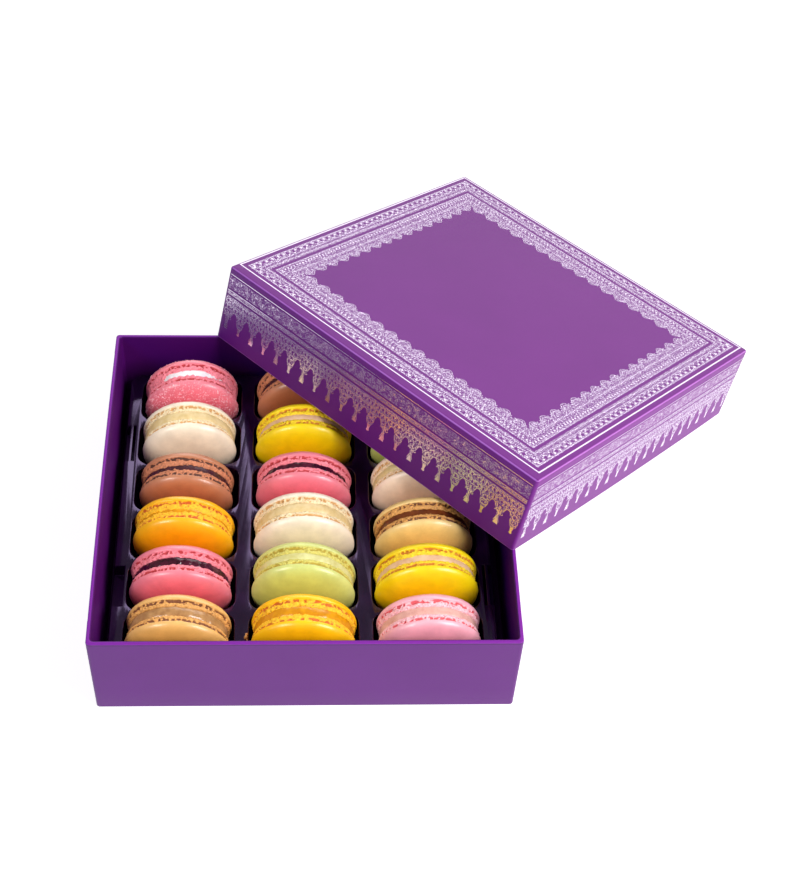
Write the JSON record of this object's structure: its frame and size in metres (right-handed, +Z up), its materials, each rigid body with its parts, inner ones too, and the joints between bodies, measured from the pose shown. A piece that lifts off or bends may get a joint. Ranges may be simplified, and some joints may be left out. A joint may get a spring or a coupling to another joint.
{
  "type": "macaron gift box",
  "caption": "Square board gift box filled with macarons standing on edge in a moulded tray, its loose lid leaning on the rims.",
  "frame": {"origin": "middle of the underside of the box, not counting the lid beside it", "axes": "+Z up, +X to the right and +Y to the back as seen from the front of the box; the lid leans on the back and right rims"},
  "size_m": [0.3404, 0.3384, 0.0972],
  "materials": {
    "box_paper": "matte purple paper over board",
    "lid_paper": "matte purple paper over board, with a pale foil lace border",
    "dark_moulding": "vacuum-formed dark purple sheet",
    "rose_shell": "baked almond shell, smooth crown and craggy foot",
    "blush_shell": "baked almond shell, smooth crown and craggy foot",
    "cream_shell": "baked almond shell, smooth crown and craggy foot",
    "ivory_shell": "baked almond shell, smooth crown and craggy foot",
    "lemon_shell": "baked almond shell, smooth crown and craggy foot",
    "apricot_shell": "baked almond shell, smooth crown and craggy foot",
    "amber_shell": "baked almond shell, smooth crown and craggy foot",
    "pistachio_shell": "baked almond shell, smooth crown and craggy foot",
    "coffee_shell": "baked almond shell, smooth crown and craggy foot",
    "caramel_shell": "baked almond shell, smooth crown and craggy foot",
    "cocoa_shell": "baked almond shell, smooth crown and craggy foot",
    "white_cream_filling": "soft filling",
    "vanilla_cream_filling": "soft filling",
    "dark_ganache_filling": "soft filling",
    "apricot_curd_filling": "soft filling",
    "dark_jam_filling": "soft filling",
    "salted_toffee_filling": "soft filling",
    "pale_mousse_filling": "soft filling",
    "pistachio_cream_filling": "soft filling",
    "amber_curd_filling": "soft filling",
    "brown_toffee_filling": "soft filling",
    "pink_cream_filling": "soft filling"
  },
  "bodies": {
    "root": {"box": "box_paper", "lid": "lid_paper", "tray": "dark_moulding", "back_shell_r1c1": "rose_shell", "filling_r1c1": "white_cream_filling", "front_shell_r1c1": "rose_shell", "back_shell_r1c2": "cocoa_shell", "filling_r1c2": "dark_ganache_filling", "front_shell_r1c2": "cocoa_shell", "back_shell_r1c3": "cream_shell", "filling_r1c3": "vanilla_cream_filling", "front_shell_r1c3": "cream_shell", "back_shell_r2c1": "cream_shell", "filling_r2c1": "vanilla_cream_filling", "front_shell_r2c1": "cream_shell", "back_shell_r2c2": "lemon_shell", "filling_r2c2": "pale_mousse_filling", "front_shell_r2c2": "lemon_shell", "back_shell_r2c3": "pistachio_shell", "filling_r2c3": "pistachio_cream_filling", "front_shell_r2c3": "pistachio_shell", "back_shell_r3c1": "cocoa_shell", "filling_r3c1": "dark_ganache_filling", "front_shell_r3c1": "cocoa_shell", "back_shell_r3c2": "rose_shell", "filling_r3c2": "dark_jam_filling", "front_shell_r3c2": "rose_shell", "back_shell_r3c3": "ivory_shell", "filling_r3c3": "vanilla_cream_filling", "front_shell_r3c3": "ivory_shell", "back_shell_r4c1": "apricot_shell", "filling_r4c1": "apricot_curd_filling", "front_shell_r4c1": "apricot_shell", "back_shell_r4c2": "cream_shell", "filling_r4c2": "vanilla_cream_filling", "front_shell_r4c2": "cream_shell", "back_shell_r4c3": "coffee_shell", "filling_r4c3": "brown_toffee_filling", "front_shell_r4c3": "coffee_shell", "back_shell_r5c1": "rose_shell", "filling_r5c1": "dark_jam_filling", "front_shell_r5c1": "rose_shell", "back_shell_r5c2": "pistachio_shell", "filling_r5c2": "pistachio_cream_filling", "front_shell_r5c2": "pistachio_shell", "back_shell_r5c3": "lemon_shell", "filling_r5c3": "pale_mousse_filling", "front_shell_r5c3": "lemon_shell", "back_shell_r6c1": "caramel_shell", "filling_r6c1": "salted_toffee_filling", "front_shell_r6c1": "caramel_shell", "back_shell_r6c2": "amber_shell", "filling_r6c2": "amber_curd_filling", "front_shell_r6c2": "amber_shell", "back_shell_r6c3": "blush_shell", "filling_r6c3": "pink_cream_filling", "front_shell_r6c3": "blush_shell"}
  },
  "joints": []
}
